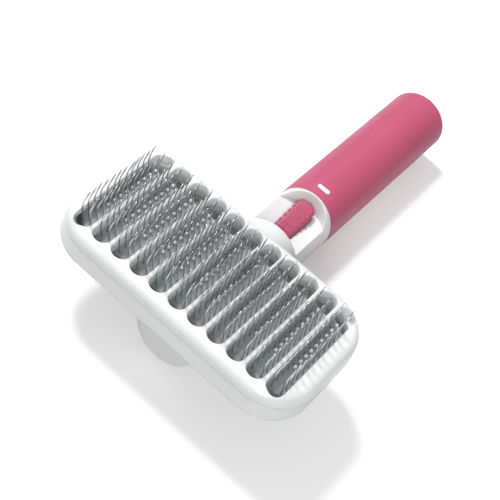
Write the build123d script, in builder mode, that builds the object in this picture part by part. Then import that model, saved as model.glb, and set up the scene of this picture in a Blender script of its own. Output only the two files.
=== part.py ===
"""Self-cleaning slicker brush, built as separate pieces.

Frame: X along the long side of the head, Y towards the end of the handle, +Z the way the pins point.
The origin is on the flat rest pad under the centre of the head. Units are millimetres.
"""
import os
from math import atan2, degrees, radians, sqrt, tan

from build123d import *

# overall levels
FACE_Z = 39.2
AXIS_Z = 13.2
TRAVEL = 7.5

# head
PITCH = 8.5
SLOTS = 11
SLOT_W = 7.0
SLOT_L = 48.6
SLOT_EDGE = 0.3
TOP_X, TOP_Y, TOP_R = 52.6, 26.9, 16.8
LOW_X, LOW_Y, LOW_R = 53.2, 29.7, 17.4
HEAD_LOW_Z = 26.2
HEAD_TOP_Z = FACE_Z
PART_Z = 33.7
PART_CHAMFER = 0.35
TRAY_FLOOR = 1.5
TRAY_WALL = 1.8
PLATE_T = 3.5
RIM_R = 4.0
SKIRT_X, SKIRT_Y, SKIRT_R = 50.8, 26.0, 15.5
SKIRT_T = 1.2
SKIRT_LOW_Z = 27.9

# lifting blades under the face plate, and their cross pegs
BLADE_X = 4.25
BLADE_T = 1.5
BLADE_W = 7.0
BLADE_YS = (-6.0, 14.0)
PEG_R = 1.0
PEG_Z = 9.8
PEG_L = 11.0

# pin bed
BED_X, BED_Y, BED_R = 49.2, 24.4, 14.4
BED_Z0, BED_Z1 = 29.2, 30.8
PAD_X, PAD_Y, PAD_R = 48.4, 20.0, 9.0
PAD_Z1 = 33.6
ROWS = 12
ROW_PITCH = 3.13
LEG_X = 2.0
WIRE_R = 0.24
CROWN_Z = 31.1
KNEE_Z = FACE_Z + 5.6
TIP_Z = FACE_Z + 10.9
LEAN_LOW = 18.0
LEAN_TOP = 25.0
BALL_R = 0.68
BALL_X = -0.83
BALL_Y0 = -6.4
BALL_ROWS = 9
BALL_Z = 34.3
BALL_WIRE_R = 0.25

# spine, neck and handle
TUBE_R = 12.8
BORE_R = 11.0
NOSE_Y = -19.3
BORE_Y0 = -17.5
CUT_Y = 65.9
CUT_SLOPE = 0.19
CORE_R = 10.8
CORE_BORE_R = 9.0
CORE_END = 152.0
SLEEVE_START_R = 12.9
SLEEVE_END = 156.4
SLEEVE_END_R = 13.1
SLEEVE_BORE_R = 10.9
PLATFORM_Z = 25.0
PLATFORM = (24.0, 43.0)
PLATFORM_Y = 4.5

# scoop and finger slide
COLLAR_Y = 43.4
SCOOP_END_Y = 67.6
SCOOP_Z = 18.2
SCOOP_L = 40.0
DISH_R = 30.0
CHANNEL_X = 6.2
FLOOR_SLOT_X = 4.4
FLOOR_LOW_Z = 16.8
CHANNEL_Y1 = 67.0
CHANNEL_Z0 = 5.0
LATCH_Y = 73.5
LATCH = (5.8, 2.2)
LATCH_GAP = 0.3
LATCH_TOP = 26.25
SLIDE_X = 4.1
SLIDE_Y0, SLIDE_Y1 = 42.4, 66.2
SLIDE_TOP = 23.2
SLIDE_SLOPE = 0.2
SLIDE_CROWN_R = 1.5
RIDGES = 6
RIDGE_PITCH = 2.7
RIDGE_Y0 = 47.6
RIDGE_T = 1.2
RIDGE_H = 0.45
RIDGE_LOW_Z = 18.9

# cam carriage
CAM_T = 6.2
CAM_Y0, CAM_Y1 = -9.2, 25.0
CAM_Z0, CAM_Z1 = 7.0, 20.6
ROD_R = 2.5
BLOCK_X = 5.8
BLOCK_Y0, BLOCK_Y1 = 41.8, 62.0
BLOCK_Z0, BLOCK_Z1 = 6.0, 16.4
TAIL_Y = 84.0
GUIDE_Y = (26.0, 29.0)
TAIL_GUIDE_Y = (73.0, 76.0)
RUN_FIT = 0.05

# spring
SPRING_R = 3.9
SPRING_WIRE_R = 0.35
SPRING_TURNS = 7.0

# back cover
COVER_X = 6.4
COVER_Y0, COVER_Y1 = -15.6, 61.8
OPEN_Y0, OPEN_Y1 = -11.0, 57.0
PAD_HALF = 4.6


def slot_xs():
    """X of each slot's centre line."""
    return [(i - (SLOTS - 1) / 2) * PITCH for i in range(SLOTS)]


def row_ys():
    """Y of each pin's root along a slot."""
    return [(i - (ROWS - 1) / 2) * ROW_PITCH for i in range(ROWS)]


def outline(z):
    """Half length, half width and corner radius of the head's outer wall at a height."""
    t = (z - HEAD_LOW_Z) / (HEAD_TOP_Z - HEAD_LOW_Z)
    return (LOW_X + (TOP_X - LOW_X) * t, LOW_Y + (TOP_Y - LOW_Y) * t, LOW_R + (TOP_R - LOW_R) * t)


def wall_sketch(z, inset=0.0):
    """Rounded outline of the head at a height, moved in by an inset."""
    hx, hy, r = outline(z)
    with BuildSketch(Plane.XY.offset(z)) as sk:
        RectangleRounded(2 * (hx - inset), 2 * (hy - inset), r - inset)
    return sk.sketch


def shell_block(z0, z1, inset=0.0):
    """Drafted block of the head between two heights."""
    return loft([wall_sketch(z0, inset), wall_sketch(z1, inset)])


def along_y(radius, y0, y1, x=0.0, z=AXIS_Z):
    """Round bar along Y."""
    bar = Cylinder(radius, y1 - y0, align=(Align.CENTER, Align.CENTER, Align.MIN), mode=Mode.PRIVATE)
    return bar.moved(Location((x, y0, z), (-90, 0, 0)))


def block(x0, x1, y0, y1, z0, z1):
    """Plain block between limits."""
    solid = Box(x1 - x0, y1 - y0, z1 - z0, align=(Align.MIN, Align.MIN, Align.MIN), mode=Mode.PRIVATE)
    return solid.moved(Location((x0, y0, z0)))


def screw(head_r, head_h, shank_r, length, at, up=True):
    """Pan-head screw with its head's seat at a point, driven down (or up) along Z."""
    head = Cylinder(head_r, head_h, align=(Align.CENTER, Align.CENTER, Align.MIN), mode=Mode.PRIVATE)
    shank = Cylinder(shank_r, length, align=(Align.CENTER, Align.CENTER, Align.MAX), mode=Mode.PRIVATE)
    drive = Box(head_r * 1.2, 0.5, 0.8, align=(Align.CENTER, Align.CENTER, Align.MIN), mode=Mode.PRIVATE)
    cross = drive + drive.moved(Location((0, 0, 0), (0, 0, 90)))
    body = head + shank - cross.moved(Location((0, 0, head_h - 0.7)))
    turn = (0, 0, 0) if up else (180, 0, 0)
    return body.moved(Location(at, turn))


def sleeve_cut(y_shift=0.0):
    """Half space behind the slanted joint between neck and grip."""
    tilt = degrees(atan2(CUT_SLOPE, 1.0))
    half = Box(60, 200, 80, align=(Align.CENTER, Align.MIN, Align.CENTER), mode=Mode.PRIVATE)
    return half.moved(Location((0, CUT_Y + y_shift, AXIS_Z), (-tilt, 0, 0)))


def scoop():
    """Cut of the finger recess: a shallow dish across the neck, rounded up towards the grip."""
    mid = SCOOP_END_Y - SCOOP_L / 2
    with BuildSketch(Plane.XY.offset(SCOOP_Z)) as low:
        with Locations((0, mid - 0.8)):
            RectangleRounded(23.4, SCOOP_L, 10.4)
    with BuildSketch(Plane.XY.offset(27.0)) as top:
        with Locations((0, mid)):
            RectangleRounded(25.8, SCOOP_L, 11.6)
    bowl = loft([low.sketch, top.sketch])
    dish = along_y(DISH_R, COLLAR_Y, SCOOP_END_Y + 5).moved(Location((0, 0, SCOOP_Z + DISH_R - AXIS_Z)))
    return bowl & dish


def slide_body(grow=0.0):
    """Crowned wedge of the finger slide, higher towards the grip, grown outwards and upwards."""
    with BuildPart() as body:
        with BuildSketch(Plane.XY.offset(BLOCK_Z1)):
            with Locations((0, (SLIDE_Y0 + SLIDE_Y1) / 2)):
                RectangleRounded(2 * (SLIDE_X + grow), SLIDE_Y1 - SLIDE_Y0 + 2 * grow, 3.0 + grow)
        extrude(amount=SLIDE_TOP + 3.0 - BLOCK_Z1)
        with BuildSketch(Plane.YZ):
            with BuildLine():
                Polyline((SLIDE_Y1 + 1, BLOCK_Z1), (SLIDE_Y1 + 1, SLIDE_TOP + grow + SLIDE_SLOPE),
                         (SLIDE_Y0 - 1, SLIDE_TOP + grow - SLIDE_SLOPE * (SLIDE_Y1 - SLIDE_Y0 + 1)),
                         (SLIDE_Y0 - 1, BLOCK_Z1), close=True)
            make_face()
        extrude(amount=10, both=True, mode=Mode.INTERSECT)
        fillet(body.faces().sort_by(Axis.Z)[-1].edges(), radius=SLIDE_CROWN_R + grow)
    return body.part


def staple(x, y):
    """One bent U staple: two leaning legs with a knee, joined by a crown in the pad."""
    y_knee = y - tan(radians(LEAN_LOW)) * (KNEE_Z - CROWN_Z)
    y_tip = y_knee + tan(radians(LEAN_TOP)) * (TIP_Z - KNEE_Z)
    pts = [
        (x - LEG_X, y_tip, TIP_Z),
        (x - LEG_X, y_knee, KNEE_Z),
        (x - LEG_X, y, CROWN_Z),
        (x + LEG_X, y, CROWN_Z),
        (x + LEG_X, y_knee, KNEE_Z),
        (x + LEG_X, y_tip, TIP_Z),
    ]
    path = FilletPolyline(*pts, radius=0.7, mode=Mode.PRIVATE)
    section = Plane(origin=pts[0], z_dir=path % 0) * Circle(WIRE_R, mode=Mode.PRIVATE)
    return sweep(section, path=path, mode=Mode.PRIVATE)


os.makedirs("parts", exist_ok=True)

floor_z = HEAD_LOW_Z + TRAY_FLOOR
tray_screw_at = [(x, y) for x in (-9.2, 9.2) for y in (-12.8, 21.6)]
bed_screw_at = [(x, y) for x in (-25.5, 0.0, 25.5) for y in (-22.2, 22.2)]
cover_screw_at = [-13.2, 58.8]
tray_outer = shell_block(HEAD_LOW_Z, PART_Z)
tray_inner = shell_block(floor_z, PART_Z + 0.01, TRAY_WALL)
plate_outer = shell_block(PART_Z, HEAD_TOP_Z)
scoop_cut = scoop()
slide_core = slide_body()
slide_grown = slide_body(RIDGE_H)
ridge_ys = [RIDGE_Y0 + RIDGE_PITCH * i for i in range(RIDGES)]

# head tray -------------------------------------------------------------------------------------
with BuildPart() as head_tray:
    add(tray_outer)
    low_edges = head_tray.faces().sort_by(Axis.Z)[0].edges()
    fillet(low_edges, radius=2.4)
    chamfer(head_tray.faces().sort_by(Axis.Z)[-1].edges(), length=PART_CHAMFER)
    add(tray_inner, mode=Mode.SUBTRACT)
    with BuildSketch(Plane.XY.offset(PLATFORM_Z)):
        with Locations((0, PLATFORM_Y)):
            RectangleRounded(PLATFORM[0], PLATFORM[1], 8.0)
    extrude(amount=floor_z - PLATFORM_Z)
    with Locations(*[(x, y, floor_z) for x, y in bed_screw_at]):
        Cylinder(2.4, BED_Z0 - floor_z, align=(Align.CENTER, Align.CENTER, Align.MIN))
    with Locations(*[(x, y, BED_Z0) for x, y in bed_screw_at]):
        Cylinder(1.22, 2.3, align=(Align.CENTER, Align.CENTER, Align.MAX), mode=Mode.SUBTRACT)
    with Locations(*[(x, y, floor_z) for x, y in tray_screw_at]):
        Cylinder(1.6, 8.0, mode=Mode.SUBTRACT)
    with Locations(*[(0, y, floor_z) for y in BLADE_YS]):
        Box(11.2, BLADE_W + 1.0, 8.0, mode=Mode.SUBTRACT)

# spine housing: nose, neck and handle core in one moulding -------------------------------------
with BuildPart() as spine_housing:
    add(along_y(TUBE_R, NOSE_Y, 80.0))
    fillet(spine_housing.edges().group_by(Axis.Y)[0], radius=3.6)
    add(sleeve_cut(), mode=Mode.SUBTRACT)
    add(along_y(CORE_R, 50.0, CORE_END))
    with BuildSketch(Plane.XY.offset(AXIS_Z + 4)):
        with Locations((0, PLATFORM_Y)):
            RectangleRounded(PLATFORM[0], PLATFORM[1], 8.0)
    extrude(amount=PLATFORM_Z - AXIS_Z - 4)
    add(block(-TUBE_R, TUBE_R, PLATFORM_Y - 21.6, PLATFORM_Y + 21.6, PLATFORM_Z, 30.0), mode=Mode.SUBTRACT)
    add(along_y(BORE_R, BORE_Y0, COLLAR_Y), mode=Mode.SUBTRACT)
    add(along_y(CORE_BORE_R, CHANNEL_Y1 + 1.5, CORE_END + 1), mode=Mode.SUBTRACT)
    add(scoop_cut, mode=Mode.SUBTRACT)
    add(block(-CHANNEL_X, CHANNEL_X, COLLAR_Y - 0.5, OPEN_Y1, -1, FLOOR_LOW_Z), mode=Mode.SUBTRACT)
    with BuildSketch(Plane.XY.offset(CHANNEL_Z0)):
        with Locations((0, (COLLAR_Y + CHANNEL_Y1) / 2)):
            RectangleRounded(2 * CHANNEL_X, CHANNEL_Y1 - COLLAR_Y, 4.6)
    extrude(amount=FLOOR_LOW_Z - CHANNEL_Z0, mode=Mode.SUBTRACT)
    with BuildSketch(Plane.XY.offset(FLOOR_LOW_Z - 0.2)):
        with Locations((0, (COLLAR_Y - 3 + CHANNEL_Y1) / 2)):
            RectangleRounded(2 * FLOOR_SLOT_X, CHANNEL_Y1 - COLLAR_Y + 3, 4.3)
    extrude(amount=SCOOP_Z - FLOOR_LOW_Z + 0.7, mode=Mode.SUBTRACT)
    add(along_y(ROD_R + 0.8, CHANNEL_Y1 - 1, CHANNEL_Y1 + 3), mode=Mode.SUBTRACT)
    add(block(-COVER_X - 0.1, COVER_X + 0.1, OPEN_Y0, OPEN_Y1, -1, 6.0), mode=Mode.SUBTRACT)
    add(block(-COVER_X - 0.1, COVER_X + 0.1, COVER_Y0 - 0.1, COVER_Y1 + 0.1, -1, 2.3), mode=Mode.SUBTRACT)
    add(block(-4.5, 4.5, BORE_Y0 - 0.5, OPEN_Y0, 2.3, 6.2))
    with Locations(*[(x, y, PLATFORM_Z) for x, y in tray_screw_at]):
        Cylinder(1.37, 10.6, mode=Mode.SUBTRACT)
    with Locations(*[(0, y, PLATFORM_Z) for y in BLADE_YS]):
        Box(11.2, BLADE_W + 1.0, 12.0, mode=Mode.SUBTRACT)
    with Locations(*[(0, y, 2.3) for y in cover_screw_at]):
        Cylinder(1.22, 6.4, mode=Mode.SUBTRACT)
    with BuildSketch(Plane.XY.offset(AXIS_Z + CORE_R - 1.0)):
        with Locations((0, LATCH_Y)):
            SlotOverall(*LATCH)
    extrude(amount=LATCH_TOP - AXIS_Z - CORE_R + 1.0)
    fillet(spine_housing.faces().sort_by(Axis.Z)[-1].edges(), radius=0.3)

# back cover under the spine --------------------------------------------------------------------
with BuildPart() as back_cover:
    add(along_y(TUBE_R, COVER_Y0, COVER_Y1))
    add(block(-COVER_X, COVER_X, COVER_Y0, COVER_Y1, -5, 2.3), mode=Mode.INTERSECT)
    add(block(-COVER_X, COVER_X, OPEN_Y0 + 0.1, OPEN_Y1 - 0.1, 1.5, 4.6))
    add(along_y(TUBE_R - 0.05, COVER_Y0, COVER_Y1), mode=Mode.INTERSECT)
    add(along_y(BORE_R, COVER_Y0 - 1, COVER_Y1 + 1), mode=Mode.SUBTRACT)
    add(block(-PAD_HALF, PAD_HALF, COVER_Y0 + 3.8, COVER_Y1 - 3.8, 0, 2.2))
    with Locations(*[(0, y, 0) for y in cover_screw_at]):
        Cylinder(1.35, 8.0, mode=Mode.SUBTRACT)
        Cylinder(2.0, 2.2, mode=Mode.SUBTRACT)

# grip sleeve -----------------------------------------------------------------------------------
with BuildPart() as grip_sleeve:
    with BuildSketch(Plane.YZ):
        with BuildLine():
            Polyline((55, AXIS_Z), (55, AXIS_Z + SLEEVE_START_R), (80, AXIS_Z + SLEEVE_START_R),
                     (SLEEVE_END, AXIS_Z + SLEEVE_END_R), (SLEEVE_END, AXIS_Z), close=True)
        make_face()
    revolve(axis=Axis((0, 0, AXIS_Z), (0, 1, 0)))
    fillet(grip_sleeve.edges().group_by(Axis.Y)[-1], radius=1.8)
    add(sleeve_cut(0.05), mode=Mode.INTERSECT)
    add(along_y(SLEEVE_BORE_R, 40.0, CORE_END + 0.3), mode=Mode.SUBTRACT)
    with BuildSketch(Plane.XY.offset(AXIS_Z)):
        with Locations((0, LATCH_Y)):
            SlotOverall(LATCH[0] + LATCH_GAP, LATCH[1] + LATCH_GAP)
    extrude(amount=20, mode=Mode.SUBTRACT)

# pin bed ---------------------------------------------------------------------------------------
with BuildPart() as pin_bed_base:
    with BuildSketch(Plane.XY.offset(BED_Z0)):
        RectangleRounded(2 * BED_X, 2 * BED_Y, BED_R)
        with Locations(*bed_screw_at):
            Circle(1.35, mode=Mode.SUBTRACT)
        with Locations(*[(x, y) for x in (-BLADE_X, BLADE_X) for y in BLADE_YS]):
            Rectangle(BLADE_T + 0.6, BLADE_W + 0.8, mode=Mode.SUBTRACT)
    extrude(amount=BED_Z1 - BED_Z0)

with BuildPart() as pin_cushion:
    with BuildSketch(Plane.XY.offset(BED_Z1)):
        RectangleRounded(2 * PAD_X, 2 * PAD_Y, PAD_R)
        with Locations(*[(x, y) for x in (-BLADE_X, BLADE_X) for y in BLADE_YS]):
            Rectangle(BLADE_T + 0.6, BLADE_W + 0.8, mode=Mode.SUBTRACT)
    extrude(amount=PAD_Z1 - BED_Z1)

edge_at = []
inner_at = []
for col, slot_x in enumerate(slot_xs()):
    for row, row_y in enumerate(row_ys()):
        on_edge = col in (0, SLOTS - 1) or row in (0, ROWS - 1)
        (edge_at if on_edge else inner_at).append((slot_x, row_y, 0))
one_staple = staple(0, 0)

with BuildPart() as pin_staples_edge:
    with Locations(*edge_at):
        add(one_staple)

with BuildPart() as pin_staples_inner:
    with Locations(*inner_at):
        add(one_staple)

ball_ys = [BALL_Y0 + ROW_PITCH * i for i in range(BALL_ROWS)]
ball_at = [(x + BALL_X, y) for x in slot_xs() for y in ball_ys]
ball_low = BALL_Z - sqrt(BALL_R**2 - BALL_WIRE_R**2)
ball_root = CROWN_Z + WIRE_R + 0.1
with BuildPart() as ball_pins:
    with Locations(*[(x, y, ball_root) for x, y in ball_at]):
        Cylinder(BALL_WIRE_R, ball_low - ball_root, align=(Align.CENTER, Align.CENTER, Align.MIN))

with BuildPart() as ball_tips:
    with Locations(*[(x, y, BALL_Z) for x, y in ball_at]):
        Sphere(BALL_R)
    split(bisect_by=Plane.XY.offset(ball_low), keep=Keep.TOP)

# face plate and its lifting blades -------------------------------------------------------------
with BuildPart() as face_plate:
    add(plate_outer)
    rim = face_plate.faces().sort_by(Axis.Z)[-1].edges()
    fillet(rim, radius=RIM_R)
    with BuildSketch(Plane.XY.offset(SKIRT_LOW_Z)):
        RectangleRounded(2 * SKIRT_X, 2 * SKIRT_Y, SKIRT_R)
    extrude(amount=PART_Z - SKIRT_LOW_Z + 0.5)
    with BuildSketch(Plane.XY.offset(SKIRT_LOW_Z)):
        RectangleRounded(2 * (SKIRT_X - SKIRT_T), 2 * (SKIRT_Y - SKIRT_T), SKIRT_R - SKIRT_T)
    extrude(amount=FACE_Z - PLATE_T - SKIRT_LOW_Z, mode=Mode.SUBTRACT)
    with BuildSketch(Plane.XY.offset(FACE_Z)):
        with Locations(*[(x, 0) for x in slot_xs()]):
            SlotOverall(SLOT_L, SLOT_W, rotation=90)
    extrude(amount=-PLATE_T - 1, mode=Mode.SUBTRACT)
    with BuildSketch(Plane.XY.offset(FACE_Z)):
        with Locations(*[(x, 0) for x in slot_xs()]):
            SlotOverall(SLOT_L + 2 * SLOT_EDGE, SLOT_W + 2 * SLOT_EDGE, rotation=90)
    extrude(amount=-SLOT_EDGE, taper=45, mode=Mode.SUBTRACT)

with BuildPart() as lift_blades:
    for x in (-BLADE_X, BLADE_X):
        for y in BLADE_YS:
            add(block(x - BLADE_T / 2, x + BLADE_T / 2, y - BLADE_W / 2, y + BLADE_W / 2,
                      PEG_Z - 2.0, FACE_Z - PLATE_T))
    with Locations(*[Location((0, y, PEG_Z), (0, 90, 0)) for y in BLADE_YS]):
        Cylinder(PEG_R, 20.0, mode=Mode.SUBTRACT)

with BuildPart() as cam_pegs:
    with Locations(*[Location((0, y, PEG_Z), (0, 90, 0)) for y in BLADE_YS]):
        Cylinder(PEG_R, PEG_L)

# cam carriage ----------------------------------------------------------------------------------
with BuildPart() as cam_carriage:
    add(block(-CAM_T / 2, CAM_T / 2, CAM_Y0, CAM_Y1, CAM_Z0, CAM_Z1))
    add(along_y(ROD_R, CAM_Y1 - 0.5, BLOCK_Y0 + 0.5))
    add(block(-BLOCK_X, BLOCK_X, BLOCK_Y0, BLOCK_Y1, BLOCK_Z0, BLOCK_Z1))
    add(along_y(ROD_R, BLOCK_Y1 - 0.5, TAIL_Y))
    with BuildSketch(Plane.YZ.offset(-CAM_T)):
        for y in BLADE_YS:
            with Locations((y + TRAVEL / 2, PEG_Z + TRAVEL / 2)):
                SlotCenterToCenter(TRAVEL * sqrt(2), 2 * (PEG_R + RUN_FIT), rotation=45)
    extrude(amount=2 * CAM_T, mode=Mode.SUBTRACT)
    with Locations((0, 54.0, BLOCK_Z0)):
        Cylinder(1.37, 40.0, mode=Mode.SUBTRACT)
        Cylinder(2.9, 4.4, mode=Mode.SUBTRACT)

# finger slide ----------------------------------------------------------------------------------
ridge_slabs = [block(-9, 9, y - RIDGE_T / 2, y + RIDGE_T / 2, RIDGE_LOW_Z, 26) for y in ridge_ys]
with BuildPart() as finger_slide:
    add(slide_core)
    for slab in ridge_slabs:
        add(slide_grown & slab)
    with Locations((0, 54.0, BLOCK_Z1)):
        Cylinder(1.25, 7.0, mode=Mode.SUBTRACT)

# guides, spring and fasteners ------------------------------------------------------------------
with BuildPart() as spring_bulkhead:
    add(block(-6.2, 6.2, GUIDE_Y[0], GUIDE_Y[1], 2.6, 21.6))
    add(along_y(BORE_R - 0.05, GUIDE_Y[0] - 1, GUIDE_Y[1] + 1), mode=Mode.INTERSECT)
    add(along_y(ROD_R + RUN_FIT, GUIDE_Y[0] - 1, GUIDE_Y[1] + 1), mode=Mode.SUBTRACT)

with BuildPart() as tail_guide:
    add(along_y(CORE_BORE_R, TAIL_GUIDE_Y[0], TAIL_GUIDE_Y[1]))
    add(along_y(ROD_R + RUN_FIT, TAIL_GUIDE_Y[0] - 1, TAIL_GUIDE_Y[1] + 1), mode=Mode.SUBTRACT)

spring_len = BLOCK_Y0 - GUIDE_Y[1]
helix_len = spring_len - 2 * SPRING_WIRE_R
coil = Helix(pitch=helix_len / SPRING_TURNS, height=helix_len, radius=SPRING_R, mode=Mode.PRIVATE)
coil_section = Plane(origin=coil @ 0, z_dir=coil % 0) * Circle(SPRING_WIRE_R, mode=Mode.PRIVATE)
coil_solid = sweep(coil_section, path=coil, is_frenet=True, mode=Mode.PRIVATE)
with BuildPart() as return_spring:
    add(coil_solid.moved(Location((0, GUIDE_Y[1] + SPRING_WIRE_R, AXIS_Z), (-90, 0, 0))))

with BuildPart() as tray_screws:
    for x, y in tray_screw_at:
        add(screw(2.75, 1.1, 1.35, 7.2, (x, y, floor_z)))

with BuildPart() as bed_screws:
    for x, y in bed_screw_at:
        add(screw(2.0, 1.5, 1.2, 3.6, (x, y, BED_Z1)))

with BuildPart() as cover_screws:
    for y in cover_screw_at:
        add(screw(1.9, 0.9, 1.2, 4.0, (0, y, 1.1), up=False))

with BuildPart() as slide_screw:
    add(screw(2.6, 1.5, 1.25, 11.4, (0, 54.0, BLOCK_Z0 + 2.2), up=False))

# labels and export -----------------------------------------------------------------------------
pieces = {
    "head_tray": head_tray,
    "spine_housing": spine_housing,
    "back_cover": back_cover,
    "grip_sleeve": grip_sleeve,
    "pin_bed_base": pin_bed_base,
    "pin_cushion": pin_cushion,
    "pin_staples_edge": pin_staples_edge,
    "pin_staples_inner": pin_staples_inner,
    "ball_pins": ball_pins,
    "ball_tips": ball_tips,
    "face_plate": face_plate,
    "lift_blades": lift_blades,
    "cam_pegs": cam_pegs,
    "cam_carriage": cam_carriage,
    "finger_slide": finger_slide,
    "spring_bulkhead": spring_bulkhead,
    "tail_guide": tail_guide,
    "return_spring": return_spring,
    "tray_screws": tray_screws,
    "bed_screws": bed_screws,
    "cover_screws": cover_screws,
    "slide_screw": slide_screw,
}
for name, builder in pieces.items():
    builder.part.label = name
    export_step(builder.part, f"parts/{name}.step")
    print(name, len(builder.part.solids()), round(builder.part.volume, 2))
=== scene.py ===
"""Looks of the slicker brush: materials, finer meshes, floor, light and camera."""
import math
import random

import bmesh
import bpy
from mathutils import Matrix, Vector


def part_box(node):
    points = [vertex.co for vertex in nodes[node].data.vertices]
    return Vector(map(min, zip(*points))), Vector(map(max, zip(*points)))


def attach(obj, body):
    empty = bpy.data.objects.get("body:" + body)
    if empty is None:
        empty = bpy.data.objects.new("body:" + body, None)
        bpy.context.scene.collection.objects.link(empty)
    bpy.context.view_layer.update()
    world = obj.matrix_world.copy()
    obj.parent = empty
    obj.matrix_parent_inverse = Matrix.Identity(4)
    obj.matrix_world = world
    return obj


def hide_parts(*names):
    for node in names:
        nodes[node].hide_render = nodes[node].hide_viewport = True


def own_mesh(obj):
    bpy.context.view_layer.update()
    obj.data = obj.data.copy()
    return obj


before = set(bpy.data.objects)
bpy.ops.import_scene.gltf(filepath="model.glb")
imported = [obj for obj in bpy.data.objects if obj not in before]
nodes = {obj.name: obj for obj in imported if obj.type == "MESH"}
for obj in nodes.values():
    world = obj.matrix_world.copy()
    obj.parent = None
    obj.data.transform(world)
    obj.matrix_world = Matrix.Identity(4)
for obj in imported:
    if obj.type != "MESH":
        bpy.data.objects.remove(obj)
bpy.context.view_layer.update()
scene = bpy.context.scene
MM = 0.001

# camera: lens and sensor in mm, place and axes in the shared frame, in metres
LENS = 82.46
SENSOR_WIDTH = 36.0
CLIP_START = 0.01
CLIP_END = 20.0
CAMERA_PLACE = Vector((0.07864, -0.23335, 0.33608))
CAMERA_RIGHT = Vector((0.74653, 0.59174, 0.30420))
CAMERA_UP = Vector((-0.63693, 0.50336, 0.58391))

# floor
FLOOR_HALF = 5.0
FLOOR_Z = -0.0004
FLOOR_GREY = 0.86
FLOOR_GLOW = 0.2
FLOOR_ROUGHNESS = 0.9
FLOOR_SPECULAR = 0.1

# light: the sky brightens from the horizon up to a height on the unit sphere
SKY_LOW = 0.28
SKY_HIGH = 0.48
SKY_FULL_AT = 0.95
LIGHT_TARGET = Vector((0.0, 0.05, 0.03))
LIGHT_DISTANCE = 1.2
KEY_FROM = (-0.55, 0.12, 0.83)
KEY_SIZE = 0.25
KEY_POWER = 12.4
FRONT_FROM = (0.40, -0.77, 0.50)
FRONT_SIZE = 0.5
FRONT_POWER = 7.2


# ------------------------------------------------------------------------------------------------
# camera, floor and light
# ------------------------------------------------------------------------------------------------
def add_camera():
    """Camera at the viewing angle: its axes are the columns of the rotation."""
    data = bpy.data.cameras.new("camera")
    data.sensor_width = SENSOR_WIDTH
    data.lens = LENS
    data.clip_start = CLIP_START
    data.clip_end = CLIP_END
    cam = bpy.data.objects.new("camera", data)
    scene.collection.objects.link(cam)
    back = CAMERA_RIGHT.cross(CAMERA_UP)
    rot = Matrix((CAMERA_RIGHT, CAMERA_UP, back)).transposed().to_4x4()
    cam.matrix_world = Matrix.Translation(CAMERA_PLACE) @ rot
    scene.camera = cam


def add_area(name, came_from, size, power):
    """Soft square light from a direction, aimed at the light target."""
    where = LIGHT_TARGET + LIGHT_DISTANCE * Vector(came_from).normalized()
    data = bpy.data.lights.new(name, "AREA")
    data.shape = "SQUARE"
    data.size = size
    data.energy = power
    lamp = bpy.data.objects.new(name, data)
    lamp.location = where
    lamp.rotation_mode = "QUATERNION"
    lamp.rotation_quaternion = (LIGHT_TARGET - where).to_track_quat("-Z", "Y")
    scene.collection.objects.link(lamp)


def add_floor():
    """Plain pale floor with a faint glow, which throws no diffuse light back onto the brush."""
    mesh = bpy.data.meshes.new("floor")
    ways = ((-1, -1), (1, -1), (1, 1), (-1, 1))
    corners = [(x * FLOOR_HALF, y * FLOOR_HALF, FLOOR_Z) for x, y in ways]
    mesh.from_pydata(corners, [], [(0, 1, 2, 3)])
    floor = bpy.data.objects.new("floor", mesh)
    scene.collection.objects.link(floor)
    mat = bpy.data.materials.new("floor_paper")
    mat.use_nodes = True
    shader = mat.node_tree.nodes["Principled BSDF"]
    shader.inputs["Base Color"].default_value = (FLOOR_GREY, FLOOR_GREY, FLOOR_GREY, 1)
    shader.inputs["Emission Color"].default_value = (1.0, 1.0, 1.0, 1)
    shader.inputs["Emission Strength"].default_value = FLOOR_GLOW
    shader.inputs["Roughness"].default_value = FLOOR_ROUGHNESS
    shader.inputs["Specular IOR Level"].default_value = FLOOR_SPECULAR
    mesh.materials.append(mat)
    floor.visible_diffuse = False


def add_sky():
    """White surrounding light, a little brighter overhead."""
    world = bpy.data.worlds.new("studio")
    scene.world = world
    world.use_nodes = True
    tree = world.node_tree
    back = tree.nodes["Background"]
    back.inputs["Color"].default_value = (1.0, 1.0, 1.0, 1)
    coord = tree.nodes.new("ShaderNodeTexCoord")
    split = tree.nodes.new("ShaderNodeSeparateXYZ")
    rise = tree.nodes.new("ShaderNodeMapRange")
    rise.interpolation_type = "SMOOTHSTEP"
    rise.inputs["From Min"].default_value = 0.0
    rise.inputs["From Max"].default_value = SKY_FULL_AT
    rise.inputs["To Min"].default_value = SKY_LOW
    rise.inputs["To Max"].default_value = SKY_HIGH
    tree.links.new(coord.outputs["Generated"], split.inputs["Vector"])
    tree.links.new(split.outputs["Z"], rise.inputs["Value"])
    tree.links.new(rise.outputs["Result"], back.inputs["Strength"])


def add_stage():
    """Floor, surrounding light and the two lamps, with plain display colours."""
    add_floor()
    add_sky()
    scene.view_settings.view_transform = "Standard"
    add_area("key", KEY_FROM, KEY_SIZE, KEY_POWER)
    add_area("front", FRONT_FROM, FRONT_SIZE, FRONT_POWER)


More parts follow.
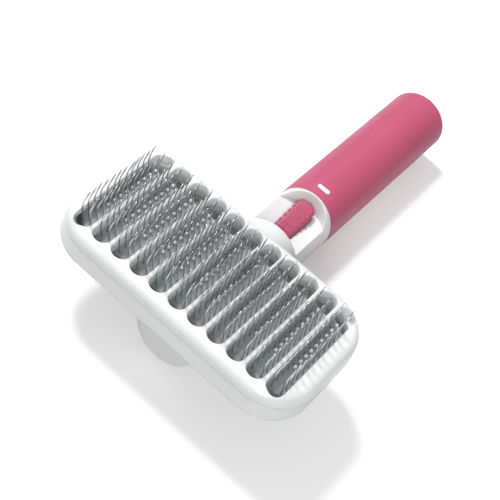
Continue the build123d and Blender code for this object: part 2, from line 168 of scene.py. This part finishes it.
# ------------------------------------------------------------------------------------------------
# materials
# ------------------------------------------------------------------------------------------------
class Shade:
    """A node material being wired up."""

    def __init__(self, name):
        self.mat = bpy.data.materials.new(name)
        self.mat.use_nodes = True
        self.tree = self.mat.node_tree
        self.shader = self.tree.nodes["Principled BSDF"]
        coord = self.tree.nodes.new("ShaderNodeTexCoord")
        self.place = coord.outputs["Object"]

    def noise(self, scale, detail, rough=0.5, stretch=(1, 1, 1)):
        """Noise value over object space; scale is per metre."""
        scaled = self.tree.nodes.new("ShaderNodeMapping")
        scaled.inputs["Scale"].default_value = stretch
        self.tree.links.new(self.place, scaled.inputs["Vector"])
        tex = self.tree.nodes.new("ShaderNodeTexNoise")
        tex.inputs["Scale"].default_value = scale
        tex.inputs["Detail"].default_value = detail
        tex.inputs["Roughness"].default_value = rough
        self.tree.links.new(scaled.outputs["Vector"], tex.inputs["Vector"])
        return tex.outputs["Fac"]

    def ramp(self, value, found, wanted):
        """Value remapped from the range it is found in to a wanted range."""
        node = self.tree.nodes.new("ShaderNodeMapRange")
        node.inputs["From Min"].default_value = found[0]
        node.inputs["From Max"].default_value = found[1]
        node.inputs["To Min"].default_value = wanted[0]
        node.inputs["To Max"].default_value = wanted[1]
        self.tree.links.new(value, node.inputs["Value"])
        return node.outputs["Result"]

    def mix(self, value, colour_a, colour_b):
        """Colour between two others by a value."""
        node = self.tree.nodes.new("ShaderNodeMix")
        node.data_type = "RGBA"
        self.tree.links.new(value, node.inputs["Factor"])
        rgba = [s for s in node.inputs if s.type == "RGBA"]
        for socket, colour in zip(rgba, (colour_a, colour_b)):
            socket.default_value = (*colour, 1.0)
        return [s for s in node.outputs if s.type == "RGBA"][0]

    def bump(self, height, strength, distance):
        """Bump from a height; distance is in metres."""
        node = self.tree.nodes.new("ShaderNodeBump")
        node.inputs["Strength"].default_value = strength
        node.inputs["Distance"].default_value = distance
        self.tree.links.new(height, node.inputs["Height"])
        return node.outputs["Normal"]

    def done(self, colour, rough, normal, **fixed):
        """Wires colour, roughness and bump, and sets fixed numbers on the shader's own sockets."""
        for name, link in (("Base Color", colour), ("Roughness", rough), ("Normal", normal)):
            self.tree.links.new(link, self.shader.inputs[name])
        for name, value in fixed.items():
            self.shader.inputs[name.replace("_", " ")].default_value = value
        return self.mat


def darker(colour, share):
    """The colour at a share of its brightness."""
    return tuple(c * share for c in colour)


def white_plastic(name):
    """Glossy white ABS: faint flow clouding, fine moulded texture, light rubbing."""
    tint = (0.79, 0.80, 0.80)
    s = Shade(name)
    cloud = s.noise(scale=38, detail=2)
    fine = s.noise(scale=900, detail=4)
    scuff = s.noise(scale=160, detail=6, rough=0.7, stretch=(1, 0.35, 1))
    share = s.ramp(cloud, found=(0.35, 0.65), wanted=(0.0, 1.0))
    colour = s.mix(share, darker(tint, share=0.98), tint)
    rough = s.ramp(scuff, found=(0.35, 0.7), wanted=(0.27, 0.33))
    normal = s.bump(fine, strength=0.05, distance=0.00006)
    return s.done(colour, rough, normal, Specular_IOR_Level=0.5, Coat_Weight=0.15,
                  Coat_Roughness=0.12, Subsurface_Weight=0.6,
                  Subsurface_Radius=(1.0, 1.0, 0.95), Subsurface_Scale=0.0025)


def pink_plastic(name, base, rough_to):
    """Satin soft-touch pink: fine grain, faint clouding and rubbing."""
    fade_gain, fade_lift = 1.06, 0.006
    s = Shade(name)
    cloud = s.noise(scale=30, detail=2)
    grain = s.noise(scale=2400, detail=3)
    rub = s.noise(scale=220, detail=5, rough=0.65, stretch=(1, 0.3, 1))
    pale = tuple(min(1.0, c * fade_gain + fade_lift) for c in base)
    colour = s.mix(s.ramp(cloud, found=(0.3, 0.7), wanted=(0.0, 1.0)), base, pale)
    rough = s.ramp(rub, found=(0.3, 0.7), wanted=rough_to)
    normal = s.bump(grain, strength=0.25, distance=0.00005)
    return s.done(colour, rough, normal, Specular_IOR_Level=0.45)


def grey_plastic(name):
    """Plain moulded acetal."""
    base = (0.36, 0.37, 0.38)
    s = Shade(name)
    cloud = s.noise(scale=120, detail=4)
    fine = s.noise(scale=1500, detail=3)
    share = s.ramp(cloud, found=(0.3, 0.7), wanted=(0.0, 1.0))
    colour = s.mix(share, darker(base, share=0.93), base)
    rough = s.ramp(cloud, found=(0.3, 0.7), wanted=(0.42, 0.55))
    normal = s.bump(fine, strength=0.2, distance=0.00006)
    return s.done(colour, rough, normal, Specular_IOR_Level=0.45)


def matte_rubber(name):
    """Matte grey rubber of the cushion, with fine pale speckle."""
    base, speckle = (0.34, 0.37, 0.37), (0.48, 0.51, 0.51)
    s = Shade(name)
    dust = s.noise(scale=700, detail=6, rough=0.7)
    cloud = s.noise(scale=90, detail=3)
    colour = s.mix(s.ramp(dust, found=(0.5, 0.75), wanted=(0.0, 0.6)), base, speckle)
    rough = s.ramp(cloud, found=(0.3, 0.7), wanted=(0.7, 0.85))
    normal = s.bump(dust, strength=0.5, distance=0.0002)
    return s.done(colour, rough, normal, Specular_IOR_Level=0.3)


def steel(name, base, rough_to, stretch, scale):
    """Drawn or plated steel: streaks, along the wire where stretched, and duller patches."""
    s = Shade(name)
    streak = s.noise(scale=scale, detail=4, rough=0.6, stretch=stretch)
    patch = s.noise(scale=70, detail=3)
    share = s.ramp(patch, found=(0.3, 0.7), wanted=(0.0, 1.0))
    colour = s.mix(share, darker(base, share=0.82), base)
    rough = s.ramp(streak, found=(0.3, 0.7), wanted=rough_to)
    normal = s.bump(streak, strength=0.15, distance=0.00003)
    return s.done(colour, rough, normal, Metallic=1.0)


def bead(name):
    """Glossy moulded bead."""
    base, light = (0.90, 0.90, 0.88), (0.95, 0.95, 0.93)
    s = Shade(name)
    spot = s.noise(scale=500, detail=3)
    colour = s.mix(s.ramp(spot, found=(0.35, 0.65), wanted=(0.0, 1.0)), base, light)
    rough = s.ramp(spot, found=(0.3, 0.7), wanted=(0.18, 0.3))
    normal = s.bump(spot, strength=0.1, distance=0.00005)
    return s.done(colour, rough, normal, Specular_IOR_Level=0.55)


def dress(mat, *names):
    """Gives the objects of CAD nodes a material, in their own slots."""
    for name in names:
        for slot in nodes[name].material_slots:
            slot.material = mat


# ------------------------------------------------------------------------------------------------
# finer pieces that stand for CAD nodes
# ------------------------------------------------------------------------------------------------
# tubes: sides, how far in from a ground end its rings lie and how thin it gets, in radii
TUBE_SIDES = 8
END_PARTS = (0.0, 0.35, 0.75)
END_LEAST = 0.12

# pin bed: rows and columns of U staples, and the path of one leg
SLOT_PITCH = 8.5 * MM
SLOT_COUNT = 11
ROW_PITCH = 3.13 * MM
ROW_COUNT = 12
LEG_X = 2.0 * MM
WIRE_R = 0.26 * MM
CROWN_Z = 31.1 * MM
KNEE_Z = 44.8 * MM
TIP_Z = 50.1 * MM
LEAN_LOW = math.tan(math.radians(18.0))
LEAN_TOP = math.tan(math.radians(25.0))
KNEE_BEND = 2.6 * MM
KNEE_STEPS = 7
CROWN_BEND = 0.6 * MM
CROWN_STEPS = 3

# spreads of the wires, in mm, and of the lean's slope
STAPLE_SEED = 41
KNEE_SPREAD_X = 0.10
KNEE_SPREAD_Y = 0.22
KNEE_SPREAD_Z = 0.12
TIP_SHORTEST = 0.35
TIP_SPREAD_X = 0.16
LEAN_SPREAD = 0.035

# cushion: outline, openings for the lift blades, mesh step, and the dips at wires and rim
CUSHION_CORNER = 9.0 * MM
BLADE_HOLES = [(x, y) for x in (-4.25 * MM, 4.25 * MM) for y in (-6.0 * MM, 14.0 * MM)]
HOLE_HALF_X = 1.05 * MM
HOLE_HALF_Y = 3.9 * MM
CUSHION_STEP = 0.5 * MM
CELL_MM = 2
DIP_MM = 0.30
DIP_REACH = 0.55 * MM
RIM_MM = 0.35
RIM_REACH_MM = 0.6

# return spring: its seat and moving end along the grip, and how the closed ends are wound
SPRING_SEAT = 29.0 * MM
SPRING_END = 41.8 * MM
SPRING_WIRE_R = 0.35 * MM
SPRING_TURNS = 8.5
STEPS_PER_TURN = 26
CLOSED_TURNS = 0.8
CLOSED_SHARE = 0.03
OPEN_SHARE = 0.97

# finger slide: wedge, roundings, ridges, and the height over which the ridges fade out
SLIDE_START = 42.4 * MM
SLIDE_END = 66.2 * MM
SLIDE_TOP = 23.2 * MM
SLIDE_SLOPE = 0.2
SLIDE_PLAN_R = 3.0 * MM
SLIDE_EDGE_R = 1.6 * MM
SLIDE_EDGE_SHARE = 0.45
SLIDE_CORNER_STEPS = 7
SLIDE_TOP_SHARES = (0.6, 0.25)
SLIDE_ROWS = 230
RIDGE_HEIGHT = 0.44 * MM
RIDGE_INSET = 0.45 * MM
RIDGE_HALF = 0.75 * MM
RIDGES = [(47.6 + 2.7 * i) * MM for i in range(6)]
RIDGE_FADE_Z = 18.3 * MM
RIDGE_FADE_DEPTH = 1.2 * MM
MERGE_DISTANCE = 0.004 * MM
THIN_DISTANCE = 0.002 * MM


def new_piece(name, bm, mat, body, slot, *stands_for):
    """Object from a bmesh, smooth shaded, riding on a body and standing for CAD nodes."""
    bmesh.ops.recalc_face_normals(bm, faces=bm.faces)
    mesh = bpy.data.meshes.new(name)
    bm.to_mesh(mesh)
    bm.free()
    mesh.polygons.foreach_set("use_smooth", [True] * len(mesh.polygons))
    mesh.materials.append(mat)
    obj = bpy.data.objects.new(name, mesh)
    scene.collection.objects.link(obj)
    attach(obj, body)
    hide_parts(*stands_for)
    return obj


def clamp(value):
    """The value, held between 0 and 1."""
    return min(max(value, 0.0), 1.0)


def skin(bm, rings):
    """Faces between rings of as many vertices each, and a face over either end."""
    count = len(rings[0])
    for low, high in zip(rings, rings[1:]):
        for k in range(count):
            bm.faces.new((low[k], low[(k + 1) % count], high[(k + 1) % count], high[k]))
    bm.faces.new(list(reversed(rings[0])))
    bm.faces.new(rings[-1])


def arc_corner(before, corner, after, reach, steps):
    """Points of a smooth bend in place of a corner, from a reach before it to a reach after it."""
    start = corner + (before - corner).normalized() * reach
    end = corner + (after - corner).normalized() * reach
    points = []
    for i in range(steps + 1):
        t = i / steps
        points.append(start.lerp(corner, t).lerp(corner.lerp(end, t), t))
    return points


def ground_end(tip, inner, radius):
    """Points and radii of a ground round wire end, from the tip inwards."""
    back = (inner - tip).normalized()
    points = []
    radii = []
    for part in END_PARTS:
        points.append(tip + back * (radius * part))
        radii.append(radius * max(math.sqrt(1.0 - (1.0 - part) ** 2), END_LEAST))
    return points, radii


def add_tube(bm, points, radius):
    """Closed round tube along points, with ground round ends."""
    start, start_radii = ground_end(points[0], points[1], radius)
    end, end_radii = ground_end(points[-1], points[-2], radius)
    path = [*start, *points[1:-1], *reversed(end)]
    radii = [*start_radii, *[radius] * (len(points) - 2), *reversed(end_radii)]
    rings = []
    along = (path[1] - path[0]).normalized()
    side = along.orthogonal().normalized()
    for i, point in enumerate(path):
        before = path[max(i - 1, 0)]
        after = path[min(i + 1, len(path) - 1)]
        along = (after - before).normalized()
        side = (side - along * side.dot(along)).normalized()
        other = along.cross(side)
        ring = []
        for k in range(TUBE_SIDES):
            turn = 2 * math.pi * k / TUBE_SIDES
            outwards = side * math.cos(turn) + other * math.sin(turn)
            ring.append(bm.verts.new(point + outwards * radii[i]))
        rings.append(ring)
    skin(bm, rings)


def slot_x(col):
    """Middle of a slot across the head."""
    return (col - (SLOT_COUNT - 1) / 2) * SLOT_PITCH


def row_y(row):
    """Place of a row of crowns along the slots."""
    return (row - (ROW_COUNT - 1) / 2) * ROW_PITCH


def staple_points(x, y, rng):
    """Path of one U staple: tip, knee, crown, knee, tip, each leg a little out of line."""
    legs = []
    for side in (-1, 1):
        foot = Vector((x + side * LEG_X, y, CROWN_Z))
        y_knee = y - LEAN_LOW * (KNEE_Z - CROWN_Z)
        knee = Vector((foot.x + rng.gauss(0, KNEE_SPREAD_X) * MM,
                       y_knee + rng.gauss(0, KNEE_SPREAD_Y) * MM,
                       KNEE_Z + rng.gauss(0, KNEE_SPREAD_Z) * MM))
        rise = TIP_Z - rng.uniform(0.0, TIP_SHORTEST) * MM - knee.z
        tip = Vector((knee.x + rng.gauss(0, TIP_SPREAD_X) * MM,
                      knee.y + (LEAN_TOP + rng.gauss(0, LEAN_SPREAD)) * rise, knee.z + rise))
        bend = arc_corner(tip, knee, foot, KNEE_BEND, KNEE_STEPS)
        legs.append((tip, bend, foot))
    (left_tip, left_bend, left_foot), (right_tip, right_bend, right_foot) = legs
    crown_left = arc_corner(left_bend[-1], left_foot, right_foot, CROWN_BEND, CROWN_STEPS)
    crown_right = arc_corner(left_foot, right_foot, right_bend[-1], CROWN_BEND, CROWN_STEPS)
    return [left_tip, *left_bend, *crown_left, *crown_right, *reversed(right_bend), right_tip]


def make_staples():
    """All the wire staples of the pin bed, edge ones and inner ones apart."""
    rng = random.Random(STAPLE_SEED)
    edge = bmesh.new()
    inner = bmesh.new()
    for col in range(SLOT_COUNT):
        for row in range(ROW_COUNT):
            on_edge = col in (0, SLOT_COUNT - 1) or row in (0, ROW_COUNT - 1)
            points = staple_points(slot_x(col), row_y(row), rng)
            add_tube(edge if on_edge else inner, points, WIRE_R)
    new_piece("wire_pins_edge", edge, wire, "handle", "steel_wire", "pin_staples_edge")
    new_piece("wire_pins_inner", inner, wire, "handle", "steel_wire", "pin_staples_inner")


def grid_lines(low, high, cuts):
    """Even grid lines between limits that also pass through the cuts."""
    marks = sorted({low, high, *cuts})
    lines = [marks[0]]
    for p, q in zip(marks, marks[1:]):
        n = max(1, round((q - p) / CUSHION_STEP))
        lines += [p + (q - p) * (i + 1) / n for i in range(n)]
    return lines


def cell_of(x, y):
    """Cell of a coarse grid that a point lies in, for finding the wires near it."""
    return round(x / MM / CELL_MM), round(y / MM / CELL_MM)


def wire_feet(top_z):
    """Where the staples' legs pass through the cushion's top, by cell."""
    feet = {}
    for col in range(SLOT_COUNT):
        for row in range(ROW_COUNT):
            y = row_y(row) - LEAN_LOW * (top_z - CROWN_Z)
            for side in (-1, 1):
                x = slot_x(col) + side * LEG_X
                feet.setdefault(cell_of(x, y), []).append((x, y))
    return feet


def wire_dip(feet, x, y):
    """How far the rubber is drawn in at a point by the wires near it, from 0 to 1."""
    cell_x, cell_y = cell_of(x, y)
    dip = 0.0
    for a in (-1, 0, 1):
        for b in (-1, 0, 1):
            for fx, fy in feet.get((cell_x + a, cell_y + b), ()):
                away = (x - fx) ** 2 + (y - fy) ** 2
                dip = max(dip, math.exp(-away / DIP_REACH ** 2))
    return dip


def round_corner(x, y, high):
    """A grid point, pulled in where it lies past the cushion's round corners."""
    dx = abs(x) - (high.x - CUSHION_CORNER)
    dy = abs(y) - (high.y - CUSHION_CORNER)
    if dx > 0 and dy > 0:
        shrink = max(dx, dy) / math.hypot(dx, dy)
        x = math.copysign(high.x - CUSHION_CORNER + dx * shrink, x)
        y = math.copysign(high.y - CUSHION_CORNER + dy * shrink, y)
    return x, y


def in_blade_hole(x, y):
    """Whether a point lies in one of the openings for the lift blades."""
    return any(abs(x - hx) < HOLE_HALF_X and abs(y - hy) < HOLE_HALF_Y for hx, hy in BLADE_HOLES)


def make_cushion():
    """Rubber sheet of the pin bed: round corners, drawn in round every wire, blade slots open."""
    low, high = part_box("pin_cushion")
    xs = grid_lines(low.x, high.x, [x + s * HOLE_HALF_X for x, _ in BLADE_HOLES for s in (-1, 1)])
    ys = grid_lines(low.y, high.y, [y + s * HOLE_HALF_Y for _, y in BLADE_HOLES for s in (-1, 1)])
    feet = wire_feet(high.z)
    bm = bmesh.new()
    top = {}
    bottom = {}
    for i, grid_x in enumerate(xs):
        for j, grid_y in enumerate(ys):
            x, y = round_corner(grid_x, grid_y, high)
            from_edge = min((high.x - abs(grid_x)) / MM, (high.y - abs(grid_y)) / MM)
            rim = RIM_MM * math.exp(-from_edge / RIM_REACH_MM)
            dip = wire_dip(feet, x, y)
            top[i, j] = bm.verts.new((x, y, high.z - (DIP_MM * dip + rim) * MM))
            bottom[i, j] = bm.verts.new((x, y, low.z))
    faces = set()
    for i in range(len(xs) - 1):
        for j in range(len(ys) - 1):
            if in_blade_hole((xs[i] + xs[i + 1]) / 2, (ys[j] + ys[j + 1]) / 2):
                continue
            faces.add((i, j))
            bm.faces.new((top[i, j], top[i + 1, j], top[i + 1, j + 1], top[i, j + 1]))
            bm.faces.new((bottom[i, j], bottom[i, j + 1], bottom[i + 1, j + 1], bottom[i + 1, j]))
    for i, j in faces:
        corners = ((i, j), (i + 1, j), (i + 1, j + 1), (i, j + 1))
        beside = ((i, j - 1), (i + 1, j), (i, j + 1), (i - 1, j))
        for k, neighbour in enumerate(beside):
            if neighbour not in faces:
                a, b = corners[k], corners[(k + 1) % len(corners)]
                bm.faces.new((bottom[a], bottom[b], top[b], top[a]))
    bmesh.ops.delete(bm, geom=[v for v in bm.verts if not v.link_faces], context="VERTS")
    pad = new_piece("cushion_sheet", bm, rubber, "handle", "grey_rubber", "pin_cushion")


def make_spring():
    """Return spring with closed ends, built at one fixed length; the real spring shortens as the
    slide is pushed.
    """
    low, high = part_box("return_spring")
    coil_r = high.x - SPRING_WIRE_R
    axis_z = (low.z + high.z) / 2
    seat, end = SPRING_SEAT, SPRING_END
    steps = int(SPRING_TURNS * STEPS_PER_TURN)
    points = []
    for i in range(steps + 1):
        t = i / steps
        turn = 2 * math.pi * SPRING_TURNS * t
        lead = clamp((t * SPRING_TURNS - CLOSED_TURNS) / (SPRING_TURNS - 2 * CLOSED_TURNS))
        share = CLOSED_SHARE * t + OPEN_SHARE * lead
        y = seat + SPRING_WIRE_R + (end - seat - 2 * SPRING_WIRE_R) * share
        points.append(Vector((coil_r * math.cos(turn), y, axis_z + coil_r * math.sin(turn))))
    bm = bmesh.new()
    add_tube(bm, points, SPRING_WIRE_R)
    coil = new_piece("return_coil", bm, spring_wire, "handle", "steel_wire", "return_spring")
    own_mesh(coil)


def rounding(from_end, radius):
    """Share of full size at a distance from an end that is rounded to a radius."""
    return math.sqrt(max(0.0, 1 - max(0.0, 1 - from_end / radius) ** 2))


def slide_outline(width, top, base):
    """Half the slide's section and its mirror image: x, z and the direction ridges grow in."""
    r = min(SLIDE_EDGE_R, SLIDE_EDGE_SHARE * (top - base))
    outline = [(width, base, 1.0, 0.0), (width, base + 0.5 * (top - r - base), 1.0, 0.0)]
    for k in range(SLIDE_CORNER_STEPS + 1):
        turn = math.pi / 2 * k / SLIDE_CORNER_STEPS
        nx, nz = math.cos(turn), math.sin(turn)
        outline.append((width - r + r * nx, top - r + r * nz, nx, nz))
    for share in SLIDE_TOP_SHARES:
        outline.append(((width - r) * share, top, 0.0, 1.0))
    outline.append((0.0, top, 0.0, 1.0))
    return outline + [(-x, z, -nx, nz) for x, z, nx, nz in reversed(outline[:-1])]


def make_slide():
    """Finger slide: wedge that rises towards the grip, soft ridges over its top and sides."""
    low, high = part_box("finger_slide")
    half = high.x - RIDGE_INSET
    middle, reach = (SLIDE_START + SLIDE_END) / 2, (SLIDE_END - SLIDE_START) / 2
    bm = bmesh.new()
    rings = []
    for i in range(SLIDE_ROWS + 1):
        y = middle - reach * math.cos(math.pi * i / SLIDE_ROWS)
        from_end = reach - abs(y - middle)
        plan = rounding(from_end, SLIDE_PLAN_R)
        cap = rounding(from_end, SLIDE_EDGE_R)
        width = half - (1 - plan) * SLIDE_PLAN_R
        top = SLIDE_TOP - SLIDE_SLOPE * (SLIDE_END - y) - (1 - cap) * SLIDE_EDGE_R
        ridge = sum(math.exp(-((y - r) / RIDGE_HALF) ** 4) for r in RIDGES) * RIDGE_HEIGHT * cap
        ring = []
        for x, z, nx, nz in slide_outline(width, top, low.z):
            fade = clamp((z - RIDGE_FADE_Z) / RIDGE_FADE_DEPTH)
            ring.append(bm.verts.new((x + nx * ridge * fade, y, z + nz * ridge * fade)))
        rings.append(ring)
    skin(bm, rings)
    bmesh.ops.remove_doubles(bm, verts=bm.verts, dist=MERGE_DISTANCE)
    bmesh.ops.dissolve_degenerate(bm, edges=bm.edges, dist=THIN_DISTANCE)
    new_piece("thumb_slide", bm, slide_pink, "slide", "pink_plastic", "finger_slide")


add_camera()
add_stage()

white = white_plastic("white_abs")
pink = pink_plastic("pink_soft_touch", base=(0.48, 0.078, 0.157), rough_to=(0.42, 0.54))
slide_pink = pink_plastic("pink_slide", base=(0.42, 0.072, 0.14), rough_to=(0.24, 0.34))
grey = grey_plastic("grey_acetal")
rubber = matte_rubber("cushion_rubber")
wire = steel("pin_wire", base=(0.53, 0.54, 0.55), rough_to=(0.16, 0.26),
             stretch=(1, 1, 0.12), scale=900)
spring_wire = steel("spring_wire", base=(0.45, 0.45, 0.44), rough_to=(0.25, 0.4),
                    stretch=(1, 1, 1), scale=700)
screws = steel("screw_zinc", base=(0.62, 0.62, 0.6), rough_to=(0.25, 0.4),
               stretch=(1, 1, 1), scale=600)
beads = bead("bead_gloss")
dress(white, "head_tray", "spine_housing", "back_cover", "face_plate", "lift_blades")
dress(pink, "grip_sleeve")
dress(grey, "pin_bed_base", "cam_carriage", "spring_bulkhead", "tail_guide")
dress(wire, "ball_pins", "cam_pegs")
dress(beads, "ball_tips")
dress(screws, "tray_screws", "bed_screws", "cover_screws", "slide_screw")
make_staples()
make_cushion()
make_spring()
make_slide()
